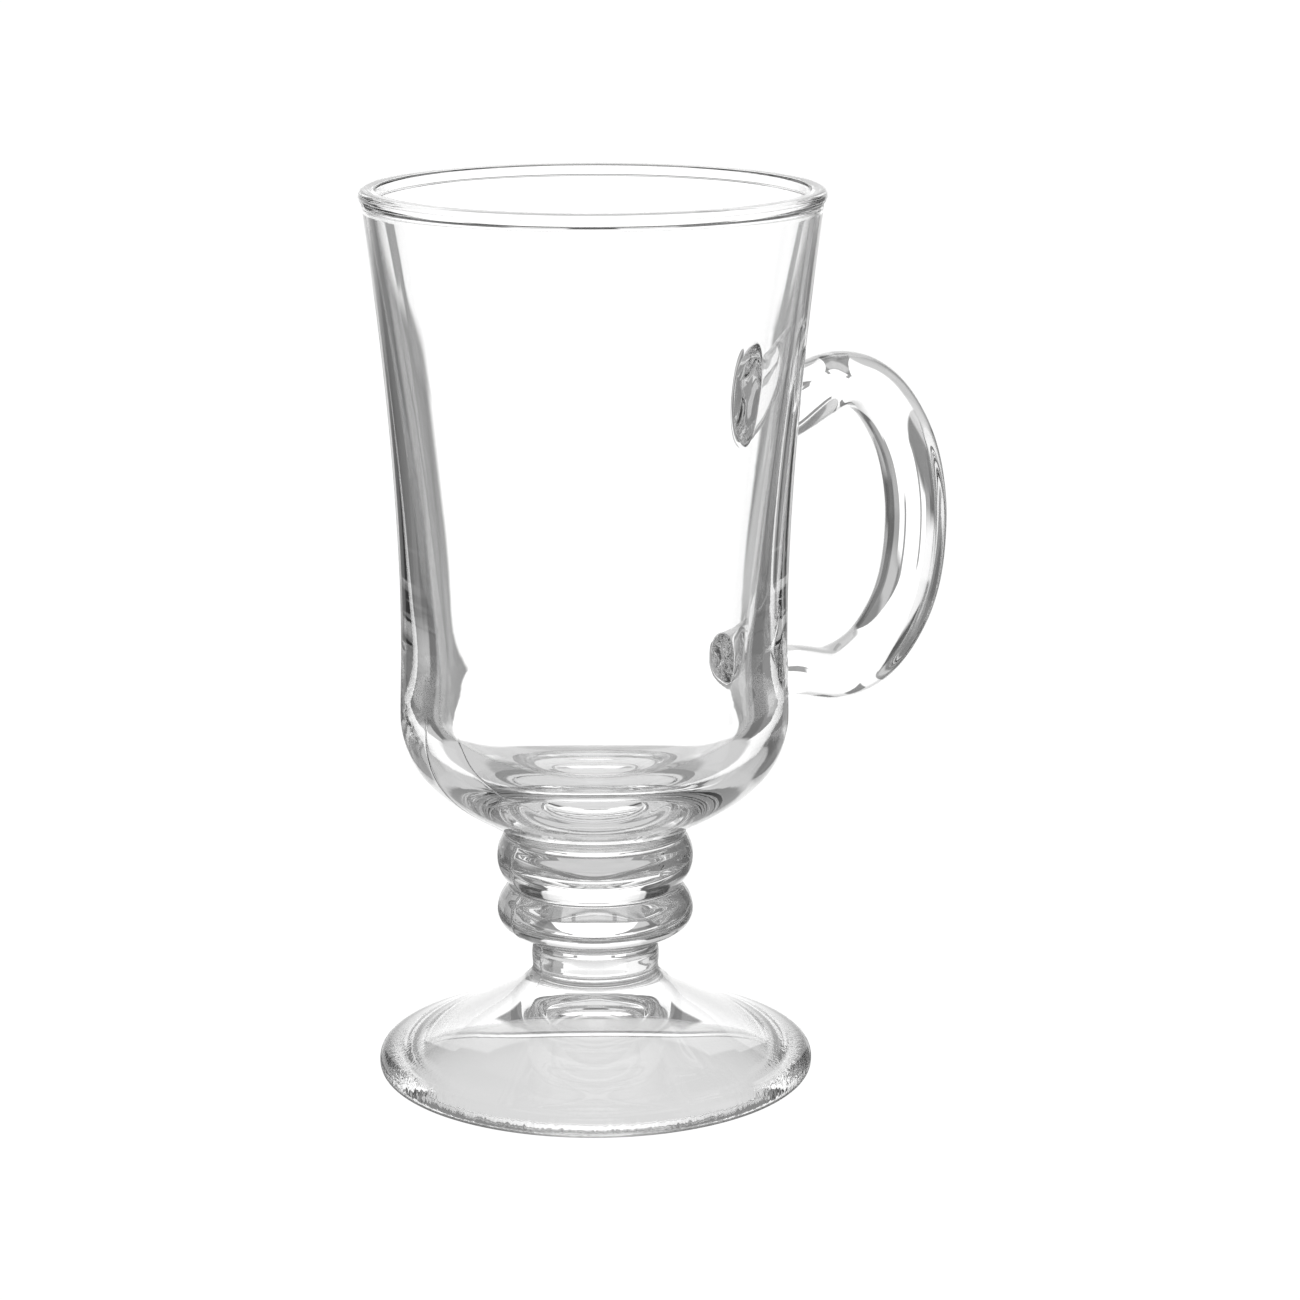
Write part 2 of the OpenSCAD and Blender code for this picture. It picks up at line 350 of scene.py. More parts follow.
class Outline:
    """The outline of the turned body, as radii and heights from the hollow's middle to the cup's floor"""

    def __init__(self, g):
        self.g = g
        self.rim_z = BOWL_HIGH.z
        self.rim_r = BOWL_HIGH.y
        self.foot_r = FOOT_HIGH.y
        self.foot_z = FOOT_HIGH.z
        self.neck_z = BOWL_LOW.z
        self.belly_z = self.neck_z + g.belly_rise
        self.waist_z = self.neck_z + g.waist_rise
        self.lip_low = self.rim_z - g.lip_h
        self.lip_round = self.rim_z - g.lip_outer_round
        self.cup_floor = self.neck_z + g.cup_floor_rise
        self.cup_round = self.cup_floor + g.cup_round_h

    def wall_r(self, z):
        """Outer radius of the wall above its waist"""
        g = self.g
        share = (z - self.waist_z) / (self.lip_round - self.waist_z)
        return g.waist_r + (self.rim_r - g.lip_proud - g.waist_r) * eased(share, WALL_POWER)

    def cup_wall_r(self, z):
        """Inner radius of the cup, which widens upwards as the plunger that pressed it"""
        g = self.g
        share = (z - self.cup_round) / (self.rim_z - g.ledge_drop - g.ledge_h - self.cup_round)
        return g.cup_r + (self.rim_r - g.lip_t + g.ledge_w - g.cup_r) * eased(share, CUP_POWER)

    def foot_under(self):
        """The hollow under the foot"""
        rim = self.foot_r - self.g.edge_in - self.g.ring_w
        return natural_spline(between(HOLLOW_SHARES, (0, 0), (rim, self.g.hollow_h))[::-1], HOLLOW_POINTS)

    def outside(self):
        """From the edge under the foot up to the waist of the bowl"""
        g = self.g
        ring_r = self.foot_r - g.edge_in
        knop_r = UPPER_KNOP_HIGH.y
        stem_low, stem_high = STEM_LOW.z, STEM_HIGH.z
        groove_z, neck_z = UPPER_KNOP_LOW.z, self.neck_z
        low_crest, high_crest = (stem_high + groove_z) / 2, (groove_z + neck_z) / 2
        points = between(EDGE_SHARES, (ring_r, 0), (self.foot_r, g.edge_h))
        points += between(FOOT_SHARES, (g.stem_r, g.edge_h), (ring_r, stem_low))[1:]
        points += [(g.stem_r, (stem_low + stem_high) / 2)]
        points += between(KNOP_SHARES, (g.stem_r, stem_high), (knop_r, low_crest))
        points += between(KNOP_SHARES, (g.groove_r, groove_z), (knop_r, low_crest))[::-1][1:]
        points += between(KNOP_SHARES, (g.groove_r, groove_z), (knop_r, high_crest))[1:]
        points += between(KNOP_SHARES, (g.neck_r, neck_z), (knop_r, high_crest))[::-1][1:]
        points += between(UNDER_SHARES, (g.neck_r, neck_z), (g.belly_r, self.belly_z))[1:]
        points += [(g.waist_r + (g.belly_r - g.waist_r) * SWELL_SHARE, (self.belly_z + self.waist_z) / 2)]
        # the curve runs on up the wall, so that it meets it smoothly, and is cut just below the waist
        run_on, cut = 30 * MM, 0.2 * MM
        points += [(self.wall_r(z), z) for z in np.linspace(self.waist_z, self.waist_z + run_on, 4)]
        line = natural_spline(points, OUTSIDE_POINTS)
        return line[line[:, 1] < self.waist_z - cut]

    def wall(self):
        """From the waist up to the lip, round the lip and down to the cup's round bottom"""
        g = self.g
        up = [(self.wall_r(z), z) for z in np.linspace(self.waist_z, self.lip_low, WALL_POINTS)]
        low_r, step = self.wall_r(self.lip_low), self.lip_round - self.lip_low
        lip = [(low_r + (self.rim_r - low_r) * (1 - cos(pi * t)) / 2, self.lip_low + step * t)
               for t in np.linspace(0, 1, ARC_POINTS)[:-1]]
        outer, inner = g.lip_outer_round, g.lip_inner_round
        lip += [(self.rim_r - outer + outer * cos(a), self.rim_z - outer + outer * sin(a))
                for a in np.linspace(0, pi / 2, ARC_POINTS)]
        inner_r = self.rim_r - g.lip_t
        lip += [(inner_r + inner + inner * cos(a), self.rim_z - inner + inner * sin(a))
                for a in np.linspace(pi / 2, pi, 9)]
        # the fine ledge inside the rim, which overhangs the cup's wall
        ledge = self.rim_z - g.ledge_drop
        lip += [(inner_r, ledge + 2 * g.ledge_h)]
        lip += [(inner_r + g.ledge_w * t, ledge - g.ledge_h * t) for t in (0, 0.06, 0.5, 0.94, 1)]
        heights = np.linspace(ledge - g.ledge_h, self.cup_round, WALL_POINTS)[1:]
        down = [(self.cup_wall_r(z), z) for z in heights]
        return np.array(up), np.array(lip), np.array(down)

    def cup_bottom(self):
        """The cup's round bottom, in to the middle of its floor"""
        g = self.g
        power = 2 / CUP_CORNER
        return np.array([
            (g.cup_r * cos(a) ** power, self.cup_round - g.cup_round_h * sin(a) ** power)
            for a in np.linspace(0, pi / 2, 60)])


def turned_rows(outline):
    """All rows of the turned body, close together up to the bowl's underside"""
    up, lip, down = outline.wall()
    line = outline.outside()
    above_neck = 2.5 * MM
    split = int(np.argmax(line[:, 1] > outline.neck_z + above_neck))
    return np.concatenate([
        spaced(outline.foot_under(), COARSE_STEP),
        spaced(line[:split + 1], FINE_STEP),
        spaced(line[split:], COARSE_STEP)[1:],
        spaced(up, COARSE_STEP)[1:],
        lip[1:],
        spaced(down, COARSE_STEP)[1:],
        spaced(outline.cup_bottom(), COARSE_STEP)[1:],
    ])


def mesh_piece(name, verts, faces):
    """A smooth shaded mesh object, with its faces turned outwards"""
    mesh = bpy.data.meshes.new(name)
    mesh.from_pydata([tuple(v) for v in verts], [], faces)
    bm = bmesh.new()
    bm.from_mesh(mesh)
    bmesh.ops.recalc_face_normals(bm, faces=bm.faces)
    loose = [e for e in bm.edges if len(e.link_faces) != 2]
    if loose:
        raise RuntimeError(f"{name} is open at {len(loose)} edges")
    if bm.calc_volume(signed=True) < 0:
        bmesh.ops.reverse_faces(bm, faces=bm.faces)
    bm.to_mesh(mesh)
    bm.free()
    mesh.shade_smooth()
    piece = bpy.data.objects.new(name, mesh)
    bpy.context.scene.collection.objects.link(piece)
    return piece


def fillet(run, radius):
    """How far a rounding of that radius stands out at a run from the face that it meets"""
    if run >= radius:
        return 0
    return radius - sqrt(radius * radius - (radius - run) ** 2)


def smooth(x):
    """A smooth step from 0 to 1"""
    x = min(1, max(0, x))
    return x * x * (3 - 2 * x)


def rounded(x):
    """A sine or cosine bent so that an oval made with it gets fuller corners"""
    return abs(x) ** (2 / BAR_CORNER) * (1 if x >= 0 else -1)


class Handle:
    """The bar of the handle, swept along its centre line between the two places where it leaves the wall"""

    def __init__(self, g, outline):
        self.g, self.outline = g, outline
        half = g.handle_t / 2
        top = outline.rim_z - g.handle_drop - half
        low = outline.rim_z - g.handle_drop - g.handle_h + half
        points = between(HANDLE_SHARES, (g.waist_r - g.lip_t, low), (g.handle_reach - half, top))
        line = natural_spline(points, CENTRE_LINE_POINTS)
        below_waist = g.waist_r + 0.15 * MM
        out = [s > (outline.wall_r(z) if z > outline.waist_z else below_waist) for s, z in line]
        first, last = out.index(True), len(out) - 1 - out[::-1].index(True)
        self.line = line[first:last + 1]
        gap = np.linalg.norm(np.diff(self.line, axis=0), axis=1)
        self.run = np.concatenate([[0], np.cumsum(gap)])
        self.length = self.run[-1]

    def at(self, run):
        """Point of the centre line, and its direction, at a run from the upper root"""
        reach = 0.4 * MM
        before, here, after = (
            np.array([np.interp(r, self.run, self.line[:, k]) for k in range(2)])
            for r in (run - reach, run, run + reach))
        return here, (after - before) / np.linalg.norm(after - before)

    def section(self, run):
        """Half width, outer depth and inner depth of the bar at a run from the upper root"""
        g = self.g
        upper = run < self.length / 2
        r = run if upper else self.length - run
        root_w = UPPER_ROOT_W if upper else LOWER_ROOT_W
        w = root_w + (g.handle_w / 2 - root_w) * smooth(r / ROOT_RUN) + fillet(r, SIDE_FILLET)
        depth = g.handle_t / 2
        if upper:
            outer = depth + fillet(r, UPPER_OUTER_FILLET)
            inner = depth + UPPER_TAPER * (1 - smooth(r / ROOT_RUN)) + fillet(r, UPPER_INNER_FILLET)
        else:
            depth -= LOWER_TAPER * (1 - smooth((r - LOWER_TAPER_RUN) / LOWER_TAPER_RUN))
            outer = inner = depth + fillet(r, LOWER_FILLET)
        return w, outer, inner

    def stations(self):
        """Runs along the centre line, close together at the roots"""
        root = [UPPER_OUTER_FILLET * (1 - cos(b)) for b in np.linspace(0, pi / 2, ARC_POINTS)]
        middle = list(np.linspace(root[-1], self.length - root[-1], BAR_RINGS))[1:-1]
        return root + middle + [self.length - r for r in root[::-1]]

    def ring(self, run, count):
        """One ring of the bar: on the wall at the roots, square to the centre line further out"""
        (s, z), (us, uz) = self.at(run)
        w, outer, inner = self.section(run)
        upper = run < self.length / 2
        r = run if upper else self.length - run
        sign = 1 if upper else -1
        ring = []
        for k in range(count):
            a = 2 * pi * k / count
            out, y = rounded(cos(a)), w * rounded(sin(a))
            out *= outer if out >= 0 else inner
            square = Vector((s - uz * out, y, z + us * out))
            height = z + sign * out
            radius = self.wall_at(height) + r
            on_wall = Vector((sqrt(max(0, radius * radius - y * y)), y, height))
            ring.append(on_wall.lerp(square, smooth(r / ON_WALL_RUN)))
        return ring

    def wall_at(self, z):
        """Radius of the body's outer wall at a height"""
        return float(np.interp(z, self.outline.wall_z, self.outline.wall_rr))


def column_angles(count, seam_share):
    """Angles of the body's columns, with a few more at the seam opposite the handle"""
    base = [2 * pi * k / count for k in range(count)]
    extra = [pi + s * seam_share for s in SEAM_COLUMN_SHARES]
    return sorted(base + extra)


def body_verts(g, outline, rows, angles, lip_row):
    """Points of the turned body, the seam low on its outside, and their numbers by row and column"""
    verts = []
    index = np.full((len(rows), len(angles)), -1)
    for i, (r, z) in enumerate(rows[1:-1], start=1):
        fade = 0
        if i < lip_row:
            fade = 1 - smooth((z - outline.belly_z) / SEAM_FADE + 0.5)
            fade *= smooth((z - outline.foot_z + SEAM_FOOT_DROP) / SEAM_FOOT_FADE)
        for j, a in enumerate(angles):
            off = (a - pi) * r
            raised = r + fade * g.seam_h * float(np.exp(-(off / g.seam_w) ** 2))
            index[i, j] = len(verts)
            verts.append((raised * cos(a), raised * sin(a), z))
    return verts, index


def body_faces(index, poles, centres):
    """Faces of the turned body, but for the windows of the handle's roots"""
    m, n = index.shape
    windows = {(i, j % n) for centre in centres
               for i in range(centre - WINDOW_ROWS, centre + WINDOW_ROWS)
               for j in range(-WINDOW_COLS, WINDOW_COLS)}
    faces = [(index[i, j], index[i, (j + 1) % n], index[i + 1, (j + 1) % n], index[i + 1, j])
             for i in range(1, m - 2) for j in range(n) if (i, j) not in windows]
    for j in range(n):
        k = (j + 1) % n
        faces.append((poles[0], index[1, k], index[1, j]))
        faces.append((poles[1], index[m - 2, j], index[m - 2, k]))
    return faces


def join_loops(faces, one, two):
    """Faces between two loops with as many points each"""
    for k in range(len(one)):
        q = (k + 1) % len(one)
        faces.append((one[k], one[q], two[q], two[k]))


def window_edge(centre, sign):
    """Rows and columns round a window, from the middle of its outer side round towards +Y"""
    top, bottom = centre + sign * WINDOW_ROWS, centre - sign * WINDOW_ROWS
    edge = [(top, j) for j in range(0, WINDOW_COLS)]
    edge += [(i, WINDOW_COLS) for i in range(top, bottom, -sign)]
    edge += [(bottom, j) for j in range(WINDOW_COLS, -WINDOW_COLS, -1)]
    edge += [(i, -WINDOW_COLS) for i in range(bottom, top, sign)]
    edge += [(top, j) for j in range(-WINDOW_COLS, 0)]
    return edge


def fill_window(verts, faces, handle, edge, root):
    """Loops on the wall from a window's edge in to the root of the bar"""
    last = edge
    for step in range(1, WINDOW_LOOPS):
        t = step / WINDOW_LOOPS
        loop = []
        for from_edge, to_root in zip(edge, root):
            ex, ey, ez = verts[from_edge]
            rx, ry, rz = verts[to_root]
            start, end = np.arctan2(ey, ex), np.arctan2(ry, rx)
            a, z = start + (end - start) * t, ez + (rz - ez) * t
            r = handle.wall_at(z)
            loop.append(len(verts))
            verts.append((r * cos(a), r * sin(a), z))
        join_loops(faces, last, loop)
        last = loop
    join_loops(faces, last, root)


def build_glass(g):
    """The whole mug as one closed skin: the turned body, with the handle grown out of its wall"""
    outline = Outline(g)
    rows = turned_rows(outline)
    lip_row = int(np.argmax(rows[:, 1]))
    # the outer wall as a table of heights and radii, for the handle's roots
    neck_row = int(np.argmin(np.abs(rows[:lip_row, 1] - outline.neck_z)))
    outline.wall_z, outline.wall_rr = rows[neck_row:lip_row, 1], rows[neck_row:lip_row, 0]
    handle = Handle(g, outline)
    angles = column_angles(COLUMNS, g.seam_w / g.waist_r)

    verts, index = body_verts(g, outline, rows, angles, lip_row)
    poles = len(verts), len(verts) + 1
    verts += [(0, 0, rows[0][1]), (0, 0, rows[-1][1])]
    centres = []
    for run, sign in ((0, 1), (handle.length, -1)):
        (_, z), _ = handle.at(run)
        _, outer, inner = handle.section(run)
        middle = z + (outer - inner) / 2 * sign
        centres.append(min(range(neck_row, lip_row), key=lambda i: abs(rows[i][1] - middle)))
    faces = body_faces(index, poles, centres)

    count = 4 * (WINDOW_COLS + WINDOW_ROWS)
    rings = []
    for run in handle.stations():
        rings.append([len(verts) + k for k in range(count)])
        verts.extend(handle.ring(run, count))
    for one, two in zip(rings, rings[1:]):
        join_loops(faces, one, two)
    for centre, sign, root in zip(centres, (1, -1), (rings[0], rings[-1])):
        edge = [int(index[i, j % len(angles)]) for i, j in window_edge(centre, sign)]
        fill_window(verts, faces, handle, edge, root)

    used = sorted({v for face in faces for v in face})
    renumber = {v: i for i, v in enumerate(used)}
    faces = [tuple(renumber[v] for v in face) for face in faces]
    return mesh_piece("mug_glass", [verts[v] for v in used], faces)


def new_material(name):
    """An empty material, with its nodes' tree and its output"""
    material = bpy.data.materials.new(name)
    material.use_nodes = True
    material.node_tree.nodes.clear()
    return material, material.node_tree, material.node_tree.nodes.new("ShaderNodeOutputMaterial")


def put(tree, value, socket):
    """Types a number into a socket, or links an output to it"""
    if isinstance(value, (int, float)):
        socket.default_value = value
    else:
        tree.links.new(value, socket)


def maths(tree, op, *values):
    """What a Math node makes of its values, each a number or an output"""
    node = tree.nodes.new("ShaderNodeMath")
    node.operation = op
    for value, socket in zip(values, node.inputs):
        put(tree, value, socket)
    return node.outputs[0]


def ramp(tree, value, start, end, low=0, high=1):
    """A smooth ramp from low to high, while the value goes from start to end"""
    node = tree.nodes.new("ShaderNodeMapRange")
    node.interpolation_type = "SMOOTHSTEP"
    given = {"Value": value, "From Min": start, "From Max": end, "To Min": low, "To Max": high}
    for key, number in given.items():
        put(tree, number, node.inputs[key])
    return node.outputs["Result"]


def past(tree, value, edge, fade):
    """Mask that rises from 0 to 1 past an edge, over the two distances given from it"""
    return ramp(tree, value, edge + fade[0], edge + fade[1])


def short_of(tree, value, edge, fade):
    """Mask that falls from 1 to 0 at an edge, over the two distances given from it"""
    return ramp(tree, value, edge + fade[0], edge + fade[1], 1, 0)


def uneven(tree, place, scale, stretch, detail):
    """Noise over the glass, with its grain stretched along the axes"""
    stretched = tree.nodes.new("ShaderNodeVectorMath")
    stretched.operation = "MULTIPLY"
    stretched.inputs[1].default_value = stretch
    tree.links.new(place, stretched.inputs[0])
    node = tree.nodes.new("ShaderNodeTexNoise")
    node.inputs["Scale"].default_value = scale
    node.inputs["Detail"].default_value = detail
    tree.links.new(stretched.outputs[0], node.inputs["Vector"])
    return node.outputs["Fac"]


def skin_height(tree, g, place, height, reach):
    """Height of the skin in millimetres: slow waves, ripples round the belly and stipple on the ring"""
    belly = BOWL_LOW.z + g.belly_rise
    waves = maths(tree, "MULTIPLY", uneven(tree, place, WAVE_SCALE, WAVE_STRETCH, 1), g.wave_h / MM)
    band = maths(tree, "MULTIPLY", short_of(tree, height, belly, RIPPLES_ABOVE_BELLY),
                 past(tree, height, belly, RIPPLES_BELOW_BELLY))
    ripples = maths(tree, "MULTIPLY", uneven(tree, place, RIPPLE_SCALE, RIPPLE_STRETCH, 2),
                    maths(tree, "MULTIPLY", band, g.ripple_h / MM))
    ring = maths(tree, "MULTIPLY", short_of(tree, height, 0, STIPPLE_ABOVE_TABLE),
                 short_of(tree, reach, FOOT_HIGH.y, STIPPLE_INSIDE_FOOT))
    stipple = maths(tree, "MULTIPLY", uneven(tree, place, STIPPLE_SCALE, STIPPLE_STRETCH, 1),
                    maths(tree, "MULTIPLY", ring, g.stipple_h / MM))
    return maths(tree, "ADD", maths(tree, "ADD", waves, ripples), stipple)


def painted_edge_shade_sooner(tree, g, height, reach):
    """How much sooner the painted edge shade sets in: on the handle, the foot and the knops, and later at
    the rim
    """
    arm = past(tree, reach, BOWL_HIGH.y, PAINTED_EDGE_OUTSIDE_RIM)
    foot = short_of(tree, height, FOOT_HIGH.z, PAINTED_EDGE_ABOVE_FOOT)
    rim = past(tree, height, BOWL_HIGH.z, PAINTED_EDGE_BELOW_RIM)
    knops = maths(tree, "MULTIPLY", short_of(tree, height, BOWL_LOW.z, PAINTED_EDGE_ABOVE_KNOPS),
                  past(tree, height, FOOT_HIGH.z, PAINTED_EDGE_ABOVE_FOOT))
    strong = maths(tree, "MAXIMUM", maths(tree, "MAXIMUM", arm, foot),
                   maths(tree, "MULTIPLY", knops, g.painted_knop_shade))
    return maths(tree, "MULTIPLY", maths(tree, "SUBTRACT", strong, rim), g.painted_edge_thin)


def glass_material(g):
    """Clear pressed glass with a faintly uneven skin, a stipple on the ring that it stands on, and painted
    shade that darkens its colour at its edges
    """
    material, tree, out = new_material("pressed_glass")
    nodes, links = tree.nodes, tree.links
    shader = nodes.new("ShaderNodeBsdfPrincipled")
    shader.inputs["Metallic"].default_value = 0
    shader.inputs["Roughness"].default_value = 0
    shader.inputs["IOR"].default_value = g.ior
    shader.inputs["Transmission Weight"].default_value = 1
    links.new(shader.outputs["BSDF"], out.inputs["Surface"])

    place = nodes.new("ShaderNodeTexCoord").outputs["Object"]
    split = nodes.new("ShaderNodeSeparateXYZ")
    links.new(place, split.inputs[0])
    x, y, height = split.outputs
    squares = [maths(tree, "MULTIPLY", side, side) for side in (x, y)]
    reach = maths(tree, "SQRT", maths(tree, "ADD", *squares))

    bump = nodes.new("ShaderNodeBump")
    bump.inputs["Strength"].default_value = 1
    bump.inputs["Distance"].default_value = MM
    links.new(skin_height(tree, g, place, height, reach), bump.inputs["Height"])
    links.new(bump.outputs["Normal"], shader.inputs["Normal"])

    # painted shade: the glass's colour is darkened where its skin is met at a grazing angle, which draws
    # dark outlines in place of the dark refractions at its edges
    facing = nodes.new("ShaderNodeLayerWeight")
    facing.inputs["Blend"].default_value = 0.5
    painted_shade_sooner = painted_edge_shade_sooner(tree, g, height, reach)
    clear = ramp(tree, maths(tree, "ADD", facing.outputs["Facing"], painted_shade_sooner), g.painted_edge_start, 1, 1, 0)
    colour = nodes.new("ShaderNodeMix")
    colour.data_type = "RGBA"
    links.new(clear, colour.inputs["Factor"])
    colour.inputs["A"].default_value = (*(c * g.painted_edge_level for c in g.tint), 1)
    colour.inputs["B"].default_value = (*g.tint, 1)
    links.new(colour.outputs["Result"], shader.inputs["Base Color"])
    return material


def studio_panel_group():
    """A soft edged panel of the studio, as a mask over directions"""
    group = bpy.data.node_groups.new("studio_panel", "ShaderNodeTree")
    for name in ("Azimuth", "Elevation", "Centre azimuth", "Centre elevation",
                 "Half width", "Half height", "Softness"):
        group.interface.new_socket(name=name, in_out="INPUT", socket_type="NodeSocketFloat")
    group.interface.new_socket(name="Mask", in_out="OUTPUT", socket_type="NodeSocketFloat")
    start, end = group.nodes.new("NodeGroupInput"), group.nodes.new("NodeGroupOutput")
    soft = start.outputs["Softness"]
    edge = [maths(group, "MULTIPLY", soft, half) for half in (-0.5, 0.5)]

    def across(angle, centre, half):
        off = maths(group, "ABSOLUTE", maths(group, "SUBTRACT", start.outputs[angle], start.outputs[centre]))
        return ramp(group, maths(group, "SUBTRACT", start.outputs[half], off), *edge)

    both = maths(group, "MULTIPLY", across("Azimuth", "Centre azimuth", "Half width"),
                 across("Elevation", "Centre elevation", "Half height"))
    group.links.new(both, end.inputs["Mask"])
    return group


# The studio as directions seen from the mug, in degrees from the front of the backdrop:
# name, side (1 right, -1 left, 0 both), centre (azimuth, elevation), half size (azimuth, elevation),
# edge softness, brightness
STUDIO = [
    ("overhead", 0, (0, 56), (30, 14), 6, 0.48),
    ("overhead_front", 0, (0, 57), (9.5, 13), 4, 0.85),
    ("top_light", 0, (0, 76), (181, 9), 4, 0.8),
    ("zenith", 0, (0, 90), (181, 8), 1.5, 0.02),
    ("camera_light", 0, (180, 44), (15, 7), 3, 1.15),
    ("camera_low", 0, (180, -19), (14, 9), 4, 0.75),
    ("flanks", 0, (77, -10), (15, 24), 4, 0.14),
    ("side_lights", 0, (51, 11), (10.5, 15), 4, 0.62),
    ("posts", 0, (32.5, 16), (8, 10), 2, 0.08),
    ("low_posts", 0, (27, -4), (5, 12), 3, 0.4),
    ("side_feet", 0, (43, -11), (12, 6), 2, 0.14),
    ("table_far_sides", 0, (56, -23), (8, 11), 2, 0.42),
    ("table_sides", 0, (0, -24), (38, 10), 2, 0.27),
    ("table_flanks", 0, (44, -24), (8, 10), 3, 0.17),
    ("under_handle", 1, (110, -40), (30, 12), 4, 0.7),
    ("right_wall", 1, (105, 25), (30, 18), 5, 0.6),
    ("right_flank", 1, (77, -10), (15, 24), 4, 0.3),
    ("handle_side", 1, (24, -17), (8, 4), 3, 0.6),
    ("handle_far_side", -1, (33, -29), (10, 5), 3, 0.65),
    ("left_tent", -1, (79, -25), (12, 10), 5, 1.0),
    ("left_side_tent", -1, (124, -3), (17, 11), 5, 1.0),
    ("right_tent", 1, (106, -15), (12, 12), 5, 0.95),
    ("right_back_tent", 1, (147, -3), (17, 11), 5, 1.0),
    ("left_gap", -1, (33, -2.5), (13, 8), 3, 1.0),
    ("table", 0, None, (0.93, 0.035), 0.02, 1.25),
    # painted shadow: the next three panels darken the table near, beside and under the foot, standing in for
    # the mug's own shadow on it
    ("painted_shadow_near_mug", 0, (0, -45), (76, 11), 3, 0.64),
    ("painted_shadow_by_foot", 0, (0, -63), (181, 11), 4, 0.42),
    ("painted_shadow_under_foot", 0, (0, -83), (181, 10), 5, 0.48),
    ("backdrop", 0, (0, 12.8), (21.5, 25.5), 1.5, 1.25),
    ("backdrop_sides", 0, (22.5, 15), (1.5, 14), 1.2, 1.1),
    ("backdrop_feet", 0, (12.2, -11.3), (1.3, 2.6), 0.8, 0.35),
    ("backdrop_gap", 0, (0, 28), (8, 4), 1.5, 0.25),
]
ROOM = 0.22


def panel_mask(tree, az, el, name, centre, half, soft):
    """Mask of one panel of the studio, given in degrees"""
    node = tree.nodes.new("ShaderNodeGroup")
    node.node_tree = bpy.data.node_groups.get("studio_panel") or studio_panel_group()
    node.label = name
    tree.links.new(az, node.inputs["Azimuth"])
    tree.links.new(el, node.inputs["Elevation"])
    sizes = {"Centre azimuth": centre[0], "Centre elevation": centre[1],
             "Half width": half[0], "Half height": half[1], "Softness": soft}
    for key, degrees in sizes.items():
        node.inputs[key].default_value = radians(degrees)
    return node.outputs["Mask"]


def lit_table_mask(tree, sideways, ahead, up, widening, soft):
    """Mask of the lit strip of table ahead, which widens towards the mug by the two sizes given"""
    edge = maths(tree, "SUBTRACT", maths(tree, "MULTIPLY_ADD", up, -widening[0], -widening[1]), sideways)
    inside = ramp(tree, edge, -soft / 2, soft / 2)
    return maths(tree, "MULTIPLY", inside, maths(tree, "GREATER_THAN", ahead, 0))


def studio_material():
    """Light and grey of the room round the mug, painted by direction on the dome that holds it"""
    material, tree, out = new_material("studio_dome")
    nodes, links = tree.nodes, tree.links
    unit = nodes.new("ShaderNodeVectorMath")
    unit.operation = "NORMALIZE"
    links.new(nodes.new("ShaderNodeTexCoord").outputs["Object"], unit.inputs[0])
    split = nodes.new("ShaderNodeSeparateXYZ")
    links.new(unit.outputs[0], split.inputs[0])
    across, ahead, up = split.outputs
    sideways = maths(tree, "ABSOLUTE", across)
    az = maths(tree, "ARCTAN2", sideways, ahead)
    el = maths(tree, "ARCSINE", up)

    level = ROOM
    for name, side, centre, half, soft, bright in STUDIO:
        if centre is None:
            mask = lit_table_mask(tree, sideways, ahead, up, half, soft)
        else:
            mask = panel_mask(tree, az, el, name, centre, half, soft)
        if side:
            this_side = maths(tree, "GREATER_THAN" if side > 0 else "LESS_THAN", across, 0)
            mask = maths(tree, "MULTIPLY", mask, this_side)
        mix = nodes.new("ShaderNodeMix")
        mix.data_type = "FLOAT"
        for key, value in (("Factor", mask), ("A", level), ("B", bright)):
            put(tree, value, mix.inputs[key])
        level = mix.outputs["Result"]
    glow(tree, out, level)
    material.cycles.emission_sampling = "NONE"
    return material


def glow(tree, out, level):
    """Even white light of the given strength, which sends no rays of its own"""
    emit = tree.nodes.new("ShaderNodeEmission")
    tree.links.new(level, emit.inputs["Strength"])
    tree.links.new(emit.outputs[0], out.inputs["Surface"])


def floor_material(s):
    """Plain pale floor"""
    material, tree, out = new_material("pale_floor")
    paint = tree.nodes.new("ShaderNodeBsdfDiffuse")
    paint.inputs["Color"].default_value = (*s.floor_colour, 1)
    tree.links.new(paint.outputs[0], out.inputs["Surface"])
    return material


def shade_material(s):
    """The table under the foot, darkest in a ring round the foot's edge"""
    material, tree, out = new_material("shaded_table")
    reach = tree.nodes.new("ShaderNodeVectorMath")
    reach.operation = "LENGTH"
    tree.links.new(tree.nodes.new("ShaderNodeTexCoord").outputs["Object"], reach.inputs[0])
    start, end = (FOOT_HIGH.y + off for off in CONTACT_INSIDE_FOOT)
    level = ramp(tree, reach.outputs["Value"], start, end, s.shade_level, s.contact_level)
    glow(tree, out, level)
    material.cycles.emission_sampling = "NONE"
    return material


def stage_object(name, bm, material):
    """One object of the stage from a mesh being built, with its material"""
    mesh = bpy.data.meshes.new(name)
    bm.to_mesh(mesh)
    bm.free()
    mesh.materials.append(material)
    obj = bpy.data.objects.new(name, mesh)
    bpy.context.scene.collection.objects.link(obj)
    return obj


def only_through_glass(obj):
    """Seen in reflections and through glass, and by nothing else"""
    obj.visible_camera = False
    obj.visible_diffuse = False
    obj.visible_shadow = False
    obj.visible_volume_scatter = False


def lay_floor(s):
    """The pale floor, which the glass doesn't show, because it sees the studio's table instead"""
    bm = bmesh.new()
    bmesh.ops.create_grid(bm, x_segments=1, y_segments=1, size=s.floor_size / 2)
    floor = stage_object("floor", bm, floor_material(s))
    floor.visible_transmission = False
    floor.visible_glossy = False


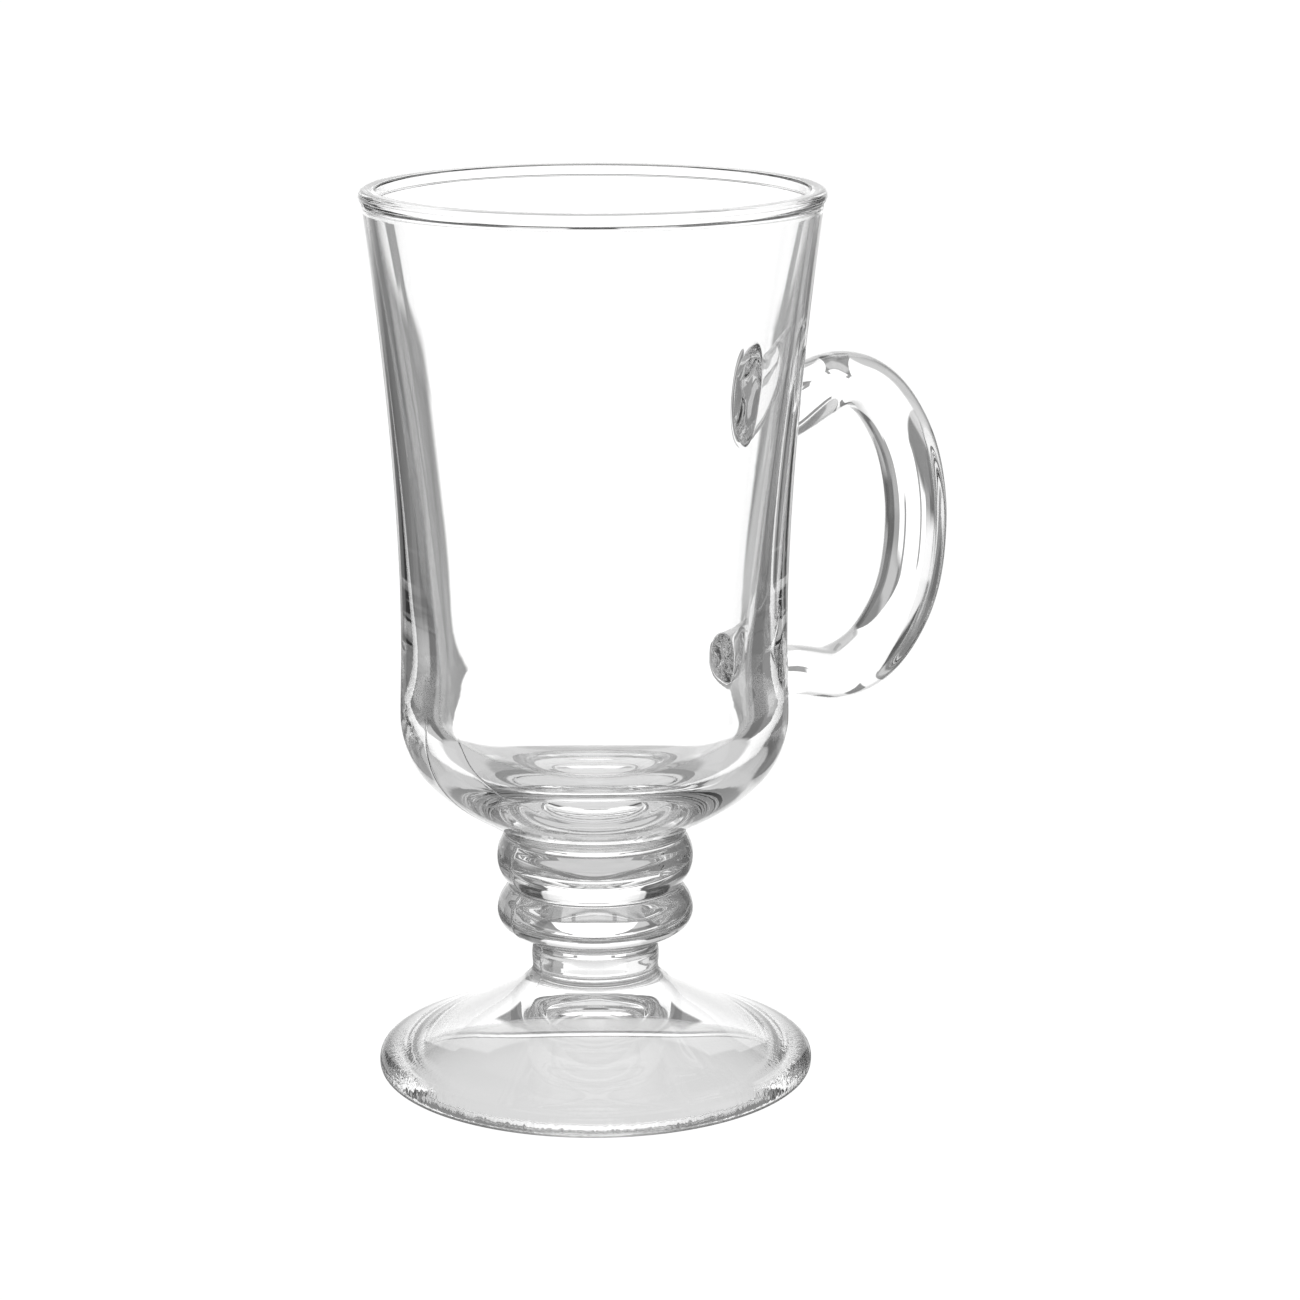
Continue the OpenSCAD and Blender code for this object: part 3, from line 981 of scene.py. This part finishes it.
def hang_dome(s):
    """The dome that holds the studio's light, turned to face the camera"""
    bm = bmesh.new()
    bmesh.ops.create_icosphere(bm, subdivisions=5, radius=s.dome_r)
    dome = stage_object("studio_dome", bm, studio_material())
    only_through_glass(dome)
    dome.location = (0, 0, BOWL_HIGH.z / 2)
    dome.rotation_euler = (0, 0, -s.handle_turn)


def shade_table(s):
    """The shaded table under the foot, just below the floor"""
    bm = bmesh.new()
    bmesh.ops.create_circle(bm, cap_ends=True, segments=96, radius=FOOT_HIGH.y * s.shade_share)
    shade = stage_object("table_shade", bm, shade_material(s))
    only_through_glass(shade)
    shade.location = (0, 0, -0.1 * MM)


def light_world(scene, s):
    """Even white light from all round, and enough bounces for thick glass"""
    scene.world = bpy.data.worlds.new("studio_world")
    scene.world.use_nodes = True
    sky = scene.world.node_tree.nodes["Background"]
    sky.inputs["Color"].default_value = (1, 1, 1, 1)
    sky.inputs["Strength"].default_value = s.light_level
    scene.view_settings.view_transform = "Standard"
    scene.view_settings.look = "None"
    scene.cycles.max_bounces = 32
    scene.cycles.transmission_bounces = 32
    scene.cycles.glossy_bounces = 16
    scene.cycles.transparent_max_bounces = 16


class GLASSMUG_OT_camera(bpy.types.Operator):
    """Stands the camera where the photograph was taken from"""

    bl_idname = "glassmug.camera"
    bl_label = "Add camera"

    def execute(self, context):
        s = context.scene.glassmug_studio
        data = bpy.data.cameras.new("camera")
        data.sensor_width = 36
        data.lens = s.lens
        camera = bpy.data.objects.new("camera", data)
        context.scene.collection.objects.link(camera)
        ahead = Vector((sin(s.handle_turn), cos(s.handle_turn), 0))
        right = Vector((cos(s.handle_turn), -sin(s.handle_turn), 0))
        camera.location = right * s.camera_side - ahead * s.camera_distance
        camera.location.z = s.camera_height
        camera.rotation_euler = (pi / 2 - s.camera_drop, 0, -s.handle_turn)
        context.scene.camera = camera
        return {"FINISHED"}


class GLASSMUG_OT_glass(bpy.types.Operator):
    """Makes the mug's glass, from the foot's hollow to the rim and round the handle"""

    bl_idname = "glassmug.glass"
    bl_label = "Add glass"

    def execute(self, context):
        g = context.scene.glassmug_glass
        piece = build_glass(g)
        piece.data.materials.append(glass_material(g))
        piece.visible_diffuse = False
        piece.visible_shadow = False
        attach(piece, "root")
        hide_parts("bowl", "upper_knop", "lower_knop", "stem", "foot", "handle")
        return {"FINISHED"}


class GLASSMUG_OT_stage(bpy.types.Operator):
    """Lays the pale floor and puts the studio's dome of light round the mug"""

    bl_idname = "glassmug.stage"
    bl_label = "Add stage"

    def execute(self, context):
        s = context.scene.glassmug_studio
        lay_floor(s)
        hang_dome(s)
        shade_table(s)
        light_world(context.scene, s)
        return {"FINISHED"}


class GLASSMUG_PT_panel(bpy.types.Panel):
    """Lists the pieces of the mug and its studio"""

    bl_idname = "GLASSMUG_PT_panel"
    bl_label = "Glass Mug"
    bl_space_type = "VIEW_3D"
    bl_region_type = "UI"
    bl_category = "Glass Mug"

    def draw(self, context):
        layout = self.layout
        for operator in OPERATORS:
            layout.operator(operator.bl_idname)
        for group in (context.scene.glassmug_glass, context.scene.glassmug_studio):
            box = layout.box()
            for name in group.__annotations__:
                box.prop(group, name)


OPERATORS = (GLASSMUG_OT_camera, GLASSMUG_OT_glass, GLASSMUG_OT_stage)
CLASSES = (GLASSMUG_PG_glass, GLASSMUG_PG_studio, *OPERATORS, GLASSMUG_PT_panel)


def register():
    for cls in CLASSES:
        bpy.utils.register_class(cls)
    bpy.types.Scene.glassmug_glass = PointerProperty(type=GLASSMUG_PG_glass)
    bpy.types.Scene.glassmug_studio = PointerProperty(type=GLASSMUG_PG_studio)


def unregister():
    del bpy.types.Scene.glassmug_studio
    del bpy.types.Scene.glassmug_glass
    for cls in reversed(CLASSES):
        bpy.utils.unregister_class(cls)


def main():
    register()
    bpy.ops.glassmug.camera()
    bpy.ops.glassmug.glass()
    bpy.ops.glassmug.stage()
    bpy.context.view_layer.update()


if __name__ == "__main__":
    main()
